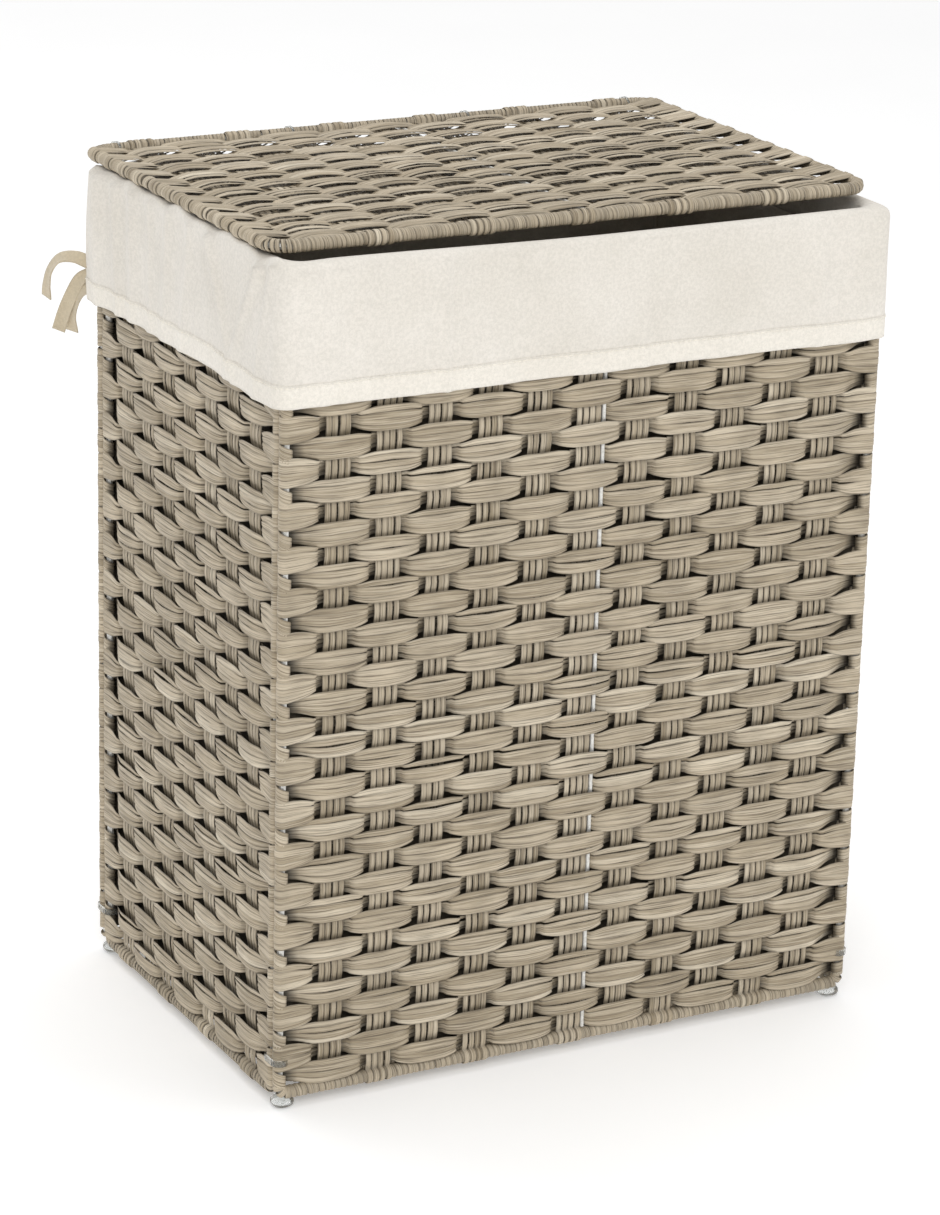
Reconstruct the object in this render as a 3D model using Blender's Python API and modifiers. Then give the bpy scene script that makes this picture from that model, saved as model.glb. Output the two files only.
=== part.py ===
"""Folding woven laundry hamper with a hinged lid and a cotton liner.

Four woven wall panels stand round a woven bottom panel. Each panel is a steel rod bent to
a rectangle, wrapped in flat strand and filled with weave. Nylon ties join the walls at the
corners and hinge the lid and the bottom panel on the back wall. The liner's cuff folds over
the rim. Metres, +Z up. The origin is on the floor, under the middle of the hamper, and the
front faces -Y.
"""

import math

import bpy
from mathutils import Vector

# Driving dimensions
WIDTH = 0.460
DEPTH = 0.310
HEIGHT = 0.600
ROD_R = 0.0025
WRAP_R = 0.0045
WRAP_T = 0.0017
CENTRE_ROD_R = 0.0015
CENTRE_ROD_X = 0.0115
WEAVE_T = 0.0050
CLOTH_T = 0.0012
TIE_T = 0.0012
TIE_WIDTH = 0.0040
GAP = 0.0003

CUFF_STAND_OFF = 0.0030
CUFF_DROP = 0.091
SEAM_DROP = 0.027
WALL_BEND_R = 0.006
PANEL_BEND_R = 0.015
CUFF_CORNER_R = 0.007
BAG_FLOOR_R = 0.004
RIM_GAP = 0.0155
LID_SHIFT_X = -0.003
LID_SHIFT_Y = 0.015
LIFT_CLEARANCE = 0.0025
BOTTOM_SETBACK = 0.0075

FOOT_SIZE = 0.018
FOOT_HEIGHT = 0.0065
FOOT_BEVEL = 0.0015
WRAP_SEAM = 0.002

LID_TIE_X = (-0.206, -0.073, 0.067, 0.200)
BOTTOM_TIE_X = (-0.160, -0.055, 0.055, 0.160)
CORNER_TIE_Z = {"lower": 0.035, "upper": 0.545}
LID_NOTCH = 0.0075
NOTCH_WIDTH = 0.008
SLIT_WIDTH = 0.010
RIBBON_R = 0.002

# Where the pieces lie
TIE_IN = WRAP_R + GAP
TIE_OUT = TIE_IN + TIE_T
PITCH = 2 * WRAP_R + GAP
RAIL_X = WIDTH / 2 - CUFF_STAND_OFF - WRAP_R
RAIL_Y = DEPTH / 2 - CUFF_STAND_OFF - WRAP_R
SIDE_POST_Y = RAIL_Y - PITCH
LOW_RAIL_Z = FOOT_HEIGHT + GAP + WRAP_R
LID_Z = HEIGHT - TIE_OUT
TOP_RAIL_Z = LID_Z - RIM_GAP
LID_HINGE_Y = RAIL_Y + LID_SHIFT_Y
BODY_Y = (DEPTH / 2 - LID_HINGE_Y - TIE_OUT) / 2
BOTTOM_X = RAIL_X - 2 * WRAP_R - LIFT_CLEARANCE
BOTTOM_Y = RAIL_Y - BOTTOM_SETBACK
BOTTOM_Z = LOW_RAIL_Z + math.sqrt(PITCH**2 - BOTTOM_SETBACK**2)
WALL_MID_Z = (LOW_RAIL_Z + TOP_RAIL_Z) / 2
WALL_HALF_H = (TOP_RAIL_Z - LOW_RAIL_Z) / 2
BAG_X = RAIL_X - WRAP_R - GAP - CLOTH_T / 2
BAG_Y = RAIL_Y - WRAP_R - GAP - CLOTH_T / 2
BAG_FLOOR_Z = BOTTOM_Z + TIE_OUT + GAP + CLOTH_T / 2
FOLD_Z = TOP_RAIL_Z + WRAP_R + GAP + CLOTH_T / 2
SEAM_Z = FOLD_Z - SEAM_DROP
SKIRT_X = WIDTH / 2 - CLOTH_T / 2
SKIRT_Y = DEPTH / 2 - CLOTH_T / 2
SKIRT_LOW_Z = FOLD_Z - CUFF_DROP

# The ribbon ends hang from the cuff's back left corner. Each route is a few points chosen
# by hand, from the walls' centre, with a smooth curve through them.
RIBBON_ROUTES = {
    "ribbon_tail_upper": (
        (-0.2326, 0.1490, 0.5190),
        (-0.2400, 0.1564, 0.5218),
        (-0.2478, 0.1652, 0.5196),
        (-0.2515, 0.1729, 0.5103),
        (-0.2518, 0.1787, 0.4987),
        (-0.2508, 0.1827, 0.4880),
    ),
    "ribbon_tail_lower": (
        (-0.2326, 0.1500, 0.5020),
        (-0.2354, 0.1584, 0.4961),
        (-0.2366, 0.1669, 0.4860),
        (-0.2359, 0.1745, 0.4744),
        (-0.2321, 0.1815, 0.4618),
    ),
    "ribbon_tail_back": (
        (-0.2326, 0.1510, 0.5100),
        (-0.2359, 0.1585, 0.5045),
        (-0.2388, 0.1669, 0.4916),
        (-0.2410, 0.1749, 0.4774),
        (-0.2425, 0.1814, 0.4634),
    ),
}

ACROSS_FRONT = (math.radians(90), 0, 0)
ACROSS_SIDE = (math.radians(90), 0, math.radians(90))
FLAT = (0, 0, 0)


def clear_scene():
    for obj in list(bpy.data.objects):
        bpy.data.objects.remove(obj, do_unlink=True)


def new_collection(name):
    collection = bpy.data.collections.new(name)
    bpy.context.scene.collection.children.link(collection)
    return collection


def new_material(name, color, roughness, metallic=0.0, alpha=1.0):
    material = bpy.data.materials.new(name)
    material.use_nodes = True
    shader = material.node_tree.nodes["Principled BSDF"]
    shader.inputs["Base Color"].default_value = (*color, 1.0)
    shader.inputs["Roughness"].default_value = roughness
    shader.inputs["Metallic"].default_value = metallic
    shader.inputs["Alpha"].default_value = alpha
    material.diffuse_color = (*color, alpha)
    return material


def place(obj, parent, location, rotation=FLAT, mode="XYZ"):
    """Puts an object at a place given from the walls' centre, under its hinge if it has one.

    The lid stands out behind the walls, so their centre lies BODY_Y in front of the origin.
    """
    obj.rotation_mode = mode
    obj.rotation_euler = rotation
    obj.location = Vector(location) + Vector((0, BODY_Y, 0))
    if parent is not None:
        obj.parent = parent
        obj.location -= parent.location
    return obj


def add_object(name, data, collection, material):
    obj = bpy.data.objects.new(name, data)
    collection.objects.link(obj)
    if material is not None:
        data.materials.append(material)
    return obj


def to_mesh(obj, weld=True):
    """Swaps a curve object for a mesh object of the same name, with its seams welded."""
    bpy.context.view_layer.update()
    evaluated = obj.evaluated_get(bpy.context.evaluated_depsgraph_get())
    mesh = bpy.data.meshes.new_from_object(evaluated)
    name, collection, matrix = obj.name, obj.users_collection[0], obj.matrix_world.copy()
    parent, location = obj.parent, obj.location.copy()
    rotation, mode = obj.rotation_euler.copy(), obj.rotation_mode
    bpy.data.objects.remove(obj, do_unlink=True)
    result = bpy.data.objects.new(name, mesh)
    collection.objects.link(result)
    result.matrix_world = matrix
    if parent is not None:
        result.parent = parent
    result.rotation_mode, result.rotation_euler, result.location = mode, rotation, location
    if weld:
        welder = result.modifiers.new("weld", "WELD")
        welder.merge_threshold = 0.00001
    return result


def cut(obj, cutter):
    modifier = obj.modifiers.new("cut", "BOOLEAN")
    modifier.operation = "DIFFERENCE"
    modifier.object = cutter


def hide_cutter(obj):
    obj.hide_render = True
    obj.display_type = "WIRE"
    return obj


def arc(centre_x, centre_y, radius, start, end, segments):
    """Points along an arc, with its angles in degrees."""
    points = []
    for i in range(segments + 1):
        angle = math.radians(start + (end - start) * i / segments)
        points.append((centre_x + radius * math.cos(angle), centre_y + radius * math.sin(angle)))
    return points


def rounded_rectangle(half_w, half_h, radius, segments=4):
    """Anticlockwise outline that starts at the right end of the top edge."""
    x, y = half_w - radius, half_h - radius
    points = []
    for centre_x, centre_y, start in ((x, y, 90), (-x, y, 90), (-x, -y, 180), (x, -y, 270)):
        if not points:
            points.append((centre_x, half_h))
            continue
        points += arc(centre_x, centre_y, radius, start, start + 90, segments)
    points += arc(x, y, radius, 0, 90, segments)[:-1]
    return points


def notched_panel(half_w, half_h, radius, notches, segments=4):
    """A rounded rectangle with square notches: side name to (place, depth) pairs."""
    half_notch = NOTCH_WIDTH / 2

    def edge(side, to_point, forward):
        """The notch points of one side, in the order in which the outline is drawn."""
        points = []
        for along, depth in sorted(notches.get(side, ()), reverse=not forward):
            step = half_notch if forward else -half_notch
            for offset, inset in ((-step, 0), (-step, depth), (step, depth), (step, 0)):
                points.append(to_point(along + offset, inset))
        return points

    x, y = half_w - radius, half_h - radius
    points = edge("low", lambda a, inset: (a, -half_h + inset), True)
    points += arc(x, -y, radius, 270, 360, segments)
    points += edge("right", lambda a, inset: (half_w - inset, a), True)
    points += arc(x, y, radius, 0, 90, segments)
    points += edge("high", lambda a, inset: (a, half_h - inset), False)
    points += arc(-x, y, radius, 90, 180, segments)
    points += edge("left", lambda a, inset: (-half_w + inset, a), False)
    points += arc(-x, -y, radius, 180, 270, segments)
    return points


def poly_curve(name, outlines, dimensions, cyclic=True):
    curve = bpy.data.curves.new(name, "CURVE")
    curve.dimensions = dimensions
    for outline in outlines:
        spline = curve.splines.new("POLY")
        spline.points.add(len(outline) - 1)
        for point, place_at in zip(spline.points, outline):
            x, y, z = (*place_at, 0.0)[:3]
            point.co = (x, y, z, 1.0)
        spline.use_cyclic_u = cyclic
    return curve


def frame_rod(name, half_w, half_h, bend, collection, material):
    """The bent steel rod of one panel, welded into a closed rectangle."""
    curve = poly_curve(name, [rounded_rectangle(half_w, half_h, bend)], "3D")
    curve.bevel_depth = ROD_R
    curve.bevel_resolution = 2
    return add_object(name, curve, collection, material)


def edge_wrap(name, half_w, half_h, bend, collection, material):
    """The strand wound round a frame rod, as a sleeve whose two ends nearly meet."""
    outline = rounded_rectangle(half_w, half_h, bend)
    start, end = (outline[0][0] - 0.1, half_h), (outline[0][0] - 0.1 + WRAP_SEAM, half_h)
    path = [start, *outline[1:], outline[0], end]
    curve = poly_curve(name, [path], "3D", cyclic=False)
    curve.bevel_depth = WRAP_R
    curve.bevel_resolution = 2
    obj = add_object(name, curve, collection, material)
    return obj


def thicken(obj, thickness, offset):
    """Thickens an open surface: offset -1 is inwards, 0 is to both sides."""
    solidify = obj.modifiers.new("thickness", "SOLIDIFY")
    solidify.thickness = thickness
    solidify.offset = offset
    solidify.use_even_offset = True
    return obj


def weave_slab(name, half_w, half_h, bend, notches, collection, material):
    """The woven field of one panel, as a flat slab that fills its frame."""
    outline = notched_panel(half_w - TIE_IN, half_h - TIE_IN, bend - TIE_IN, notches)
    mesh = bpy.data.meshes.new(name)
    mesh.from_pydata([(x, y, 0) for x, y in outline], [], [tuple(range(len(outline)))])
    slab = add_object(name, mesh, collection, material)
    return thicken(slab, WEAVE_T, offset=0)


def take_new(name, collection, material=None):
    """Names the primitive that was just added and moves it to its collection."""
    obj = bpy.context.object
    obj.name = name
    for old in list(obj.users_collection):
        old.objects.unlink(obj)
    collection.objects.link(obj)
    if material is not None:
        obj.data.materials.append(material)
    return obj


def add_box(name, size, collection, material=None):
    bpy.ops.mesh.primitive_cube_add(size=1)
    box = take_new(name, collection, material)
    for vertex in box.data.vertices:
        vertex.co = [c * side for c, side in zip(vertex.co, size)]
    return box


def add_cylinder(name, radius, length, collection, material=None):
    bpy.ops.mesh.primitive_cylinder_add(vertices=12, radius=radius, depth=length)
    return take_new(name, collection, material)


def tie_loop(name, spacing, head, collection, material):
    """A nylon tie round two rods: a flat loop with its head inside one straight side."""
    half = spacing / 2
    head_half, head_depth = head

    def stadium(radius, segments=8):
        top = arc(0, half, radius, 0, 180, segments)
        low = arc(0, -half, radius, 180, 360, segments)
        return top, low

    top, low = stadium(TIE_OUT)
    outer = top + low
    top, low = stadium(TIE_IN)
    step_x = TIE_IN - head_depth
    bump = [(TIE_IN, -head_half), (step_x, -head_half), (step_x, head_half), (TIE_IN, head_half)]
    inner = top + low + bump
    curve = poly_curve(name, [outer, inner], "2D")
    curve.fill_mode = "BOTH"
    curve.extrude = TIE_WIDTH / 2
    return add_object(name, curve, collection, material)


def build_panel(name, half_w, half_h, bend, spot, notches, kit, parent=None):
    """One panel: its frame rod, edge wrap and weave slab, laid in the plane given by spot."""
    location, rotation = spot
    parts = kit["parts"]
    rod = frame_rod(f"{name}_frame_rod", half_w, half_h, bend, parts, kit["wire"])
    place(rod, parent, location, rotation)
    wrap = edge_wrap(f"{name}_edge_wrap", half_w, half_h, bend, parts, kit["rattan"])
    place(wrap, parent, location, rotation)
    thicken(to_mesh(wrap, weld=False), WRAP_T, offset=-1)
    slab = weave_slab(f"{name}_weave", half_w, half_h, bend, notches, parts, kit["rattan"])
    return place(slab, parent, location, rotation)


def add_centre_rod(name, slab, half_length, location, rotation, kit, parent=None):
    """A stiffener rod up the middle of a panel, beside its middle upright, in a tunnel."""
    length = 2 * (half_length - TIE_IN)
    rod = add_cylinder(f"{name}_centre_rod", CENTRE_ROD_R, length, kit["parts"], kit["wire"])
    place(rod, parent, location, rotation)
    tunnel = add_cylinder(f"{name}_tunnel", CENTRE_ROD_R + GAP, length + 0.01, kit["cutters"])
    place(tunnel, parent, location, rotation)
    cut(slab, hide_cutter(tunnel))


def build_walls(kit):
    tie_notch = TIE_T + 2 * GAP
    corner = [(z - WALL_MID_Z, tie_notch) for z in CORNER_TIE_Z.values()]
    sides = {"left": corner, "right": corner}
    back = dict(sides)
    back["high"] = [(x, tie_notch) for x in LID_TIE_X]
    back["low"] = [(x, BOTTOM_Z - LOW_RAIL_Z) for x in BOTTOM_TIE_X]
    for name, y, notches in (("front", -RAIL_Y, sides), ("back", RAIL_Y, back)):
        spot = ((0, y, WALL_MID_Z), ACROSS_FRONT)
        slab = build_panel(name, RAIL_X, WALL_HALF_H, WALL_BEND_R, spot, notches, kit)
        add_centre_rod(name, slab, WALL_HALF_H, (CENTRE_ROD_X, y, WALL_MID_Z), FLAT, kit)
    for name, x in (("left", -RAIL_X), ("right", RAIL_X)):
        spot = ((x, 0, WALL_MID_Z), ACROSS_SIDE)
        build_panel(name, SIDE_POST_Y, WALL_HALF_H, WALL_BEND_R, spot, sides, kit)


def hinge_empty(name, location, collection):
    empty = bpy.data.objects.new(name, None)
    collection.objects.link(empty)
    return place(empty, None, location)


def build_lid(kit):
    middle = (LID_SHIFT_X, LID_SHIFT_Y, LID_Z)
    hinge = hinge_empty("lid_hinge_axis", (0, LID_HINGE_Y, LID_Z), kit["parts"])
    notches = {"high": [(x - LID_SHIFT_X, LID_NOTCH) for x in LID_TIE_X]}
    slab = build_panel("lid", RAIL_X, RAIL_Y, PANEL_BEND_R, (middle, FLAT), notches, kit, hinge)
    middle = (LID_SHIFT_X + CENTRE_ROD_X, LID_SHIFT_Y, LID_Z)
    add_centre_rod("lid", slab, RAIL_Y, middle, ACROSS_FRONT, kit, hinge)


def build_bottom(kit):
    hinge = hinge_empty("bottom_hinge_axis", (0, BOTTOM_Y, BOTTOM_Z), kit["parts"])
    notches = {"high": [(x, TIE_T + 3 * GAP) for x in BOTTOM_TIE_X]}
    spot = ((0, 0, BOTTOM_Z), FLAT)
    slab = build_panel("bottom", BOTTOM_X, BOTTOM_Y, PANEL_BEND_R, spot, notches, kit, hinge)
    middle = (CENTRE_ROD_X, 0, BOTTOM_Z)
    add_centre_rod("bottom", slab, BOTTOM_Y, middle, ACROSS_FRONT, kit, hinge)


def build_ties(kit):
    parts, nylon = kit["parts"], kit["clear_plastic"]
    corner_head = (0.0013, 0.0012)
    for side, x in (("left", -RAIL_X), ("right", RAIL_X)):
        for end, sign in (("front", -1), ("back", 1)):
            for level, z in CORNER_TIE_Z.items():
                name = f"corner_tie_{end}_{side}_{level}"
                tie = tie_loop(name, PITCH, corner_head, parts, nylon)
                place(tie, None, (x, sign * (RAIL_Y + SIDE_POST_Y) / 2, z))
                to_mesh(tie)
    quarter = math.radians(90)
    slope = math.atan2(RIM_GAP, LID_SHIFT_Y)
    for i, x in enumerate(LID_TIE_X, 1):
        spacing = math.hypot(RIM_GAP, LID_SHIFT_Y)
        tie = tie_loop(f"lid_hinge_tie_{i}", spacing, (0.0025, 0.0030), parts, nylon)
        middle = (x, (RAIL_Y + LID_HINGE_Y) / 2, (TOP_RAIL_Z + LID_Z) / 2)
        place(tie, None, middle, (0, quarter, slope), "ZYX")
        to_mesh(tie)
    slope = math.atan2(BOTTOM_Z - LOW_RAIL_Z, BOTTOM_Y - RAIL_Y)
    for i, x in enumerate(BOTTOM_TIE_X, 1):
        tie = tie_loop(f"bottom_hinge_tie_{i}", PITCH, corner_head, parts, nylon)
        middle = (x, (RAIL_Y + BOTTOM_Y) / 2, (LOW_RAIL_Z + BOTTOM_Z) / 2)
        place(tie, None, middle, (0, quarter, slope), "ZYX")
        to_mesh(tie)


def build_feet(kit):
    """Clear caps under the four corners, which the hamper stands on."""
    half = FOOT_SIZE / 2
    for side, x in (("left", -1), ("right", 1)):
        for end, y in (("front", -1), ("back", 1)):
            size = (FOOT_SIZE, FOOT_SIZE, FOOT_HEIGHT)
            foot = add_box(f"foot_{end}_{side}", size, kit["parts"], kit["clear_plastic"])
            bevel = foot.modifiers.new("bevel", "BEVEL")
            bevel.width = FOOT_BEVEL
            bevel.segments = 2
            corner_x = x * (RAIL_X + WRAP_R - half)
            corner_y = y * (RAIL_Y + WRAP_R - half)
            place(foot, None, (corner_x, corner_y, FOOT_HEIGHT / 2))


def cloth_shell(name, rings, floor, collection, material):
    """A cloth surface through rounded rectangles, (half x, half y, corner radius, z)."""
    segments = 6
    vertices, faces = [], []
    for half_x, half_y, radius, z in rings:
        outline = rounded_rectangle(half_x, half_y, radius, segments)
        vertices += [(x, y, z) for x, y in outline]
    count = len(vertices) // len(rings)
    for ring in range(len(rings) - 1):
        low = ring * count
        for i in range(count):
            j = (i + 1) % count
            faces.append((low + i, low + j, low + count + j, low + count + i))
    if floor:
        faces.append(tuple(reversed(range(count))))
    mesh = bpy.data.meshes.new(name)
    mesh.from_pydata(vertices, [], faces)
    shell = place(add_object(name, mesh, collection, material), None, (0, 0, 0))
    return thicken(shell, CLOTH_T, offset=0)


def build_liner(kit):
    corner = PANEL_BEND_R
    rings = []
    for inset, rise in ((1.0, 0.0), (0.3, 0.3), (0.0, 1.0)):
        back = inset * BAG_FLOOR_R
        height = BAG_FLOOR_Z + rise * BAG_FLOOR_R
        rings.append((BAG_X - back, BAG_Y - back, corner - back, height))
    rings.append((BAG_X, BAG_Y, corner, SEAM_Z - GAP))
    cloth_shell("liner_bag", rings, True, kit["parts"], kit["cotton"])
    rings = [
        (BAG_X, BAG_Y, corner, SEAM_Z),
        (BAG_X, BAG_Y, corner, FOLD_Z - 0.002),
        (BAG_X + 0.002, BAG_Y + 0.002, corner - 0.001, FOLD_Z),
        (SKIRT_X - 0.002, SKIRT_Y - 0.002, CUFF_CORNER_R - 0.001, FOLD_Z),
        (SKIRT_X, SKIRT_Y, CUFF_CORNER_R, FOLD_Z - 0.002),
        (SKIRT_X, SKIRT_Y, CUFF_CORNER_R, SKIRT_LOW_Z),
    ]
    cuff = cloth_shell("liner_cuff", rings, False, kit["parts"], kit["cotton"])
    slit_low = TOP_RAIL_Z - TIE_OUT - 2 * GAP
    slit_high = FOLD_Z + 0.01
    slit_in, slit_out = RAIL_Y - TIE_OUT - 0.004, DEPTH / 2 + 0.001
    for i, x in enumerate(LID_TIE_X, 1):
        size = (SLIT_WIDTH, slit_out - slit_in, slit_high - slit_low)
        slit = add_box(f"cuff_slit_{i}", size, kit["cutters"])
        place(slit, None, (x, (slit_in + slit_out) / 2, (slit_low + slit_high) / 2))
        cut(cuff, hide_cutter(slit))


def catmull_rom(points, steps):
    """Points along the smooth curve through the given points, steps to each span."""
    ends = [2 * points[0] - points[1], *points, 2 * points[-1] - points[-2]]
    result = []
    for a, b, c, d in zip(ends, ends[1:], ends[2:], ends[3:]):
        for i in range(steps):
            t = i / steps
            turn = 2 * b + (c - a) * t + (2 * a - 5 * b + 4 * c - d) * t**2
            result.append(0.5 * (turn + (3 * b - a - 3 * c + d) * t**3))
    return [*result, points[-1]]


def build_ribbons(kit):
    for name, route in RIBBON_ROUTES.items():
        points = catmull_rom([Vector(p) for p in route], 2)
        curve = poly_curve(name, [points], "3D", cyclic=False)
        curve.bevel_depth = RIBBON_R
        curve.bevel_resolution = 2
        curve.use_fill_caps = True
        place(add_object(name, curve, kit["parts"], kit["ribbon"]), None, (0, 0, 0))


def main():
    clear_scene()
    kit = {
        "parts": new_collection("laundry_hamper"),
        "cutters": new_collection("cutters"),
        "rattan": new_material("rattan", (0.36, 0.30, 0.22), 0.55),
        "wire": new_material("wire", (0.72, 0.72, 0.70), 0.35, metallic=0.6),
        "clear_plastic": new_material("clear_plastic", (0.85, 0.87, 0.86), 0.15, alpha=0.4),
        "cotton": new_material("cotton", (0.82, 0.79, 0.72), 0.9),
        "ribbon": new_material("ribbon", (0.80, 0.76, 0.66), 0.85),
    }
    build_walls(kit)
    build_lid(kit)
    build_bottom(kit)
    build_ties(kit)
    build_feet(kit)
    build_liner(kit)
    build_ribbons(kit)


main()
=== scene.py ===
"""Looks for the woven laundry hamper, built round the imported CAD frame.

Every panel is really woven here: flat strands run over and under the uprights, turn round the
posts and wrap the rails. The liner, the tapes, the ties and the feet follow. Metres, +Z up.
"""

import math

import bpy
import numpy as np
from mathutils import Matrix, Vector, noise


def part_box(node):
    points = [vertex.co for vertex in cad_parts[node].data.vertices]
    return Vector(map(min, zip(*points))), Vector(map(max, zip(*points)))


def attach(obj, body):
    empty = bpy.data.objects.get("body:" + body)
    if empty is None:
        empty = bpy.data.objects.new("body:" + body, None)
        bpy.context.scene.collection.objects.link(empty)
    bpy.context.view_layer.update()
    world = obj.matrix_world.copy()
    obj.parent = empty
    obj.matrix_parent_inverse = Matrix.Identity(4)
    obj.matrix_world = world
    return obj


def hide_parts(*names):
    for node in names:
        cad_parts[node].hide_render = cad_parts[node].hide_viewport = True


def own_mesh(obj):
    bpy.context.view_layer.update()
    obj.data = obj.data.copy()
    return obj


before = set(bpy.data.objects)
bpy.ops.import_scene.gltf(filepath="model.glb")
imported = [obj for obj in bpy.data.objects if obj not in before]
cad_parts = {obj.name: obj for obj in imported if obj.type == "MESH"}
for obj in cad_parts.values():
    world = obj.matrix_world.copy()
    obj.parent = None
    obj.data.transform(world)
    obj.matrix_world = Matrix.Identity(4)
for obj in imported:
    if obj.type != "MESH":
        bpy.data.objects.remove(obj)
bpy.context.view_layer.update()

# The camera, fitted to the hamper's corners in the photograph
CAMERA_AT = (-1.33428, -2.46613, 1.23910)
CAMERA_PITCH = math.radians(18.911)
CAMERA_YAW = math.radians(28.372)
CAMERA_ROLL = math.radians(1.492)
CAMERA_LENS = 123.94

# Frames: the radius of a wrapped rod, the room between a rail and the first row, and the radii
# of a frame's bends
WRAP_R = 0.0045
RAIL_GAP = 0.0003
WALL_BEND_R = 0.006
PANEL_BEND_R = 0.015

# Every strand: its thickness, the painted shade of its edges (the shadow in the seams between
# strands, and a lighter one on the back ridge), and its section, a flat back ridge and a
# crowned face, in widths and thicknesses
STRAND_T = 0.0009
SEAM_SHADE = 0.50
SECTION = np.array([(-0.5, 0.0), (-0.30, 0.5), (0.30, 0.5), (0.5, 0.0), (0.0, -0.5)])
SECTION_SHADE = np.array([SEAM_SHADE, 1.0, 1.0, SEAM_SHADE, 0.8])
SHARP_POINTS = (0, 3)

# Wefts: how many strands a row has, how far they overlap, where a path has its points within a
# bay, how much of a bay it stays in front, and its radius round a post
STRANDS = 4
WEFT_OVERLAP = 1.16
BAY_STEPS = np.array([0.0, 0.18, 0.34, 0.46, 0.54, 0.60, 0.63, 0.70, 0.84])
OVER_REACH = 0.62
CURL_R = 0.00405

# How far a row's middle strands stand out, and how far its outer ones part behind an upright
WEFT_CROWN = 0.0006
WEFT_PARTING = 0.0007

# In bays: how near a post a weft is drawn to it, and how far one from behind it takes to come out
POST_REACH = 0.6
EMERGE_REACH = 0.9

# In bays: where the rows narrow, beside a panel's middle upright, and over what width
MIDDLE_GAP_AT = 0.42
MIDDLE_GAP_WIDTH = 0.22

# The spread of a row's place, height, sway and tone, and of each strand's own shift and tilt
ROW_SHIFT = 0.0003
ROW_HEIGHT = 0.03
ROW_SWAY = 0.0004
ROW_TONE = 0.08
STRAND_SHIFT = 0.0005
STRAND_TILT = 0.13

# Uprights: how many strips, their pitch, width and swing, and their radius round a rail
STRIPS = 4
STRIP_PITCH = 0.0047
STRIP_W = 0.0042
STAKE_SWING = 0.0010
LOOP_R = 0.0050

# Windings: the radius on a rail and the spread of its turns, then those under the weft ends
SPIRAL_R = 0.0041
SPIRAL_WANDER = 0.00022
UNDER_R = 0.0032
UNDER_PITCH = 0.0044

# The clear ties that hinge the lid: a loop's radius round a rail, the band's width, the head
LID_TIES = 4
TIE_R = 0.0052
TIE_BAND = 0.0019
TIE_HEAD_W = 0.0034
TIE_HEAD_T = 0.0013

# Strands keep this far from the rail's axis near a tie, up to this far from it along the rail,
# and come back to their own line over the last stretch of that
TIE_ROOM = 0.0074
TIE_REACH = 0.0105
TIE_FADE = 0.006

# Cotton: its thickness in the CAD, as it's drawn, and the stitches' thread
CLOTH_T = 0.0012
CUFF_T = 0.0010
HEM_T = 0.0008
BAG_T = 0.0008
THREAD_W = 0.0007

# The cuff: its corners, its roll over the rim, what hangs outside, its height laid flat, and the
# rows of points below the rim
CUFF_CORNER_R = 0.0095
RIM_ROLL = 0.004
CUFF_DROP = 0.087
CUFF_ROWS = 34
HEM_HEIGHT = 0.017

# The tapes
TAPE_WIDTH = 0.0095
TAPE_T = 0.0007

rng = np.random.default_rng(11)


# -------- camera, floor and light


def make_camera():
    cos_p, sin_p = math.cos(CAMERA_PITCH), math.sin(CAMERA_PITCH)
    forward = Vector((math.sin(CAMERA_YAW) * cos_p, math.cos(CAMERA_YAW) * cos_p, -sin_p))
    level = Vector((math.cos(CAMERA_YAW), -math.sin(CAMERA_YAW), 0))
    upright = level.cross(forward)
    right = level * math.cos(CAMERA_ROLL) + upright * math.sin(CAMERA_ROLL)
    up = upright * math.cos(CAMERA_ROLL) - level * math.sin(CAMERA_ROLL)
    data = bpy.data.cameras.new("camera")
    data.sensor_fit = "VERTICAL"
    data.sensor_height = 36
    data.lens = CAMERA_LENS
    data.clip_end = 60
    camera = bpy.data.objects.new("camera", data)
    turn = Matrix((right, up, -forward)).transposed().to_4x4()
    camera.matrix_world = Matrix.Translation(CAMERA_AT) @ turn
    bpy.context.scene.collection.objects.link(camera)
    bpy.context.scene.camera = camera


def area_light(name, location, size, power):
    """A soft light that looks at the hamper's middle."""
    data = bpy.data.lights.new(name, "AREA")
    data.shape = "RECTANGLE"
    data.size, data.size_y = size
    data.energy = power
    light = bpy.data.objects.new(name, data)
    direction = Vector((0, 0, 0.3)) - Vector(location)
    light.rotation_euler = direction.to_track_quat("-Z", "Y").to_euler()
    light.location = location
    bpy.context.scene.collection.objects.link(light)


def make_studio(floor_material):
    area_light("key", (-1.5, -2.8, 2.6), (1.6, 1.6), 36)
    area_light("fill", (2.6, -2.4, 1.5), (2.2, 2.2), 14)
    area_light("top", (0.2, 0.4, 3.2), (2.6, 2.6), 34)
    area_light("back", (-1.2, 2.8, 2.0), (2.4, 2.0), 16)
    world = bpy.data.worlds.new("studio")
    world.use_nodes = True
    background = world.node_tree.nodes["Background"]
    background.inputs["Color"].default_value = (1, 1, 1, 1)
    background.inputs["Strength"].default_value = 0.50
    bpy.context.scene.world = world
    bpy.context.scene.view_settings.view_transform = "Standard"
    half = 14
    corners = [(-half, -half, 0), (half, -half, 0), (half, half, 0), (-half, half, 0)]
    mesh = bpy.data.meshes.new("floor")
    mesh.from_pydata(corners, [], [(0, 1, 2, 3)])
    floor = bpy.data.objects.new("floor", mesh)
    floor.data.materials.append(floor_material)
    bpy.context.scene.collection.objects.link(floor)


# -------- materials


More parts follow.
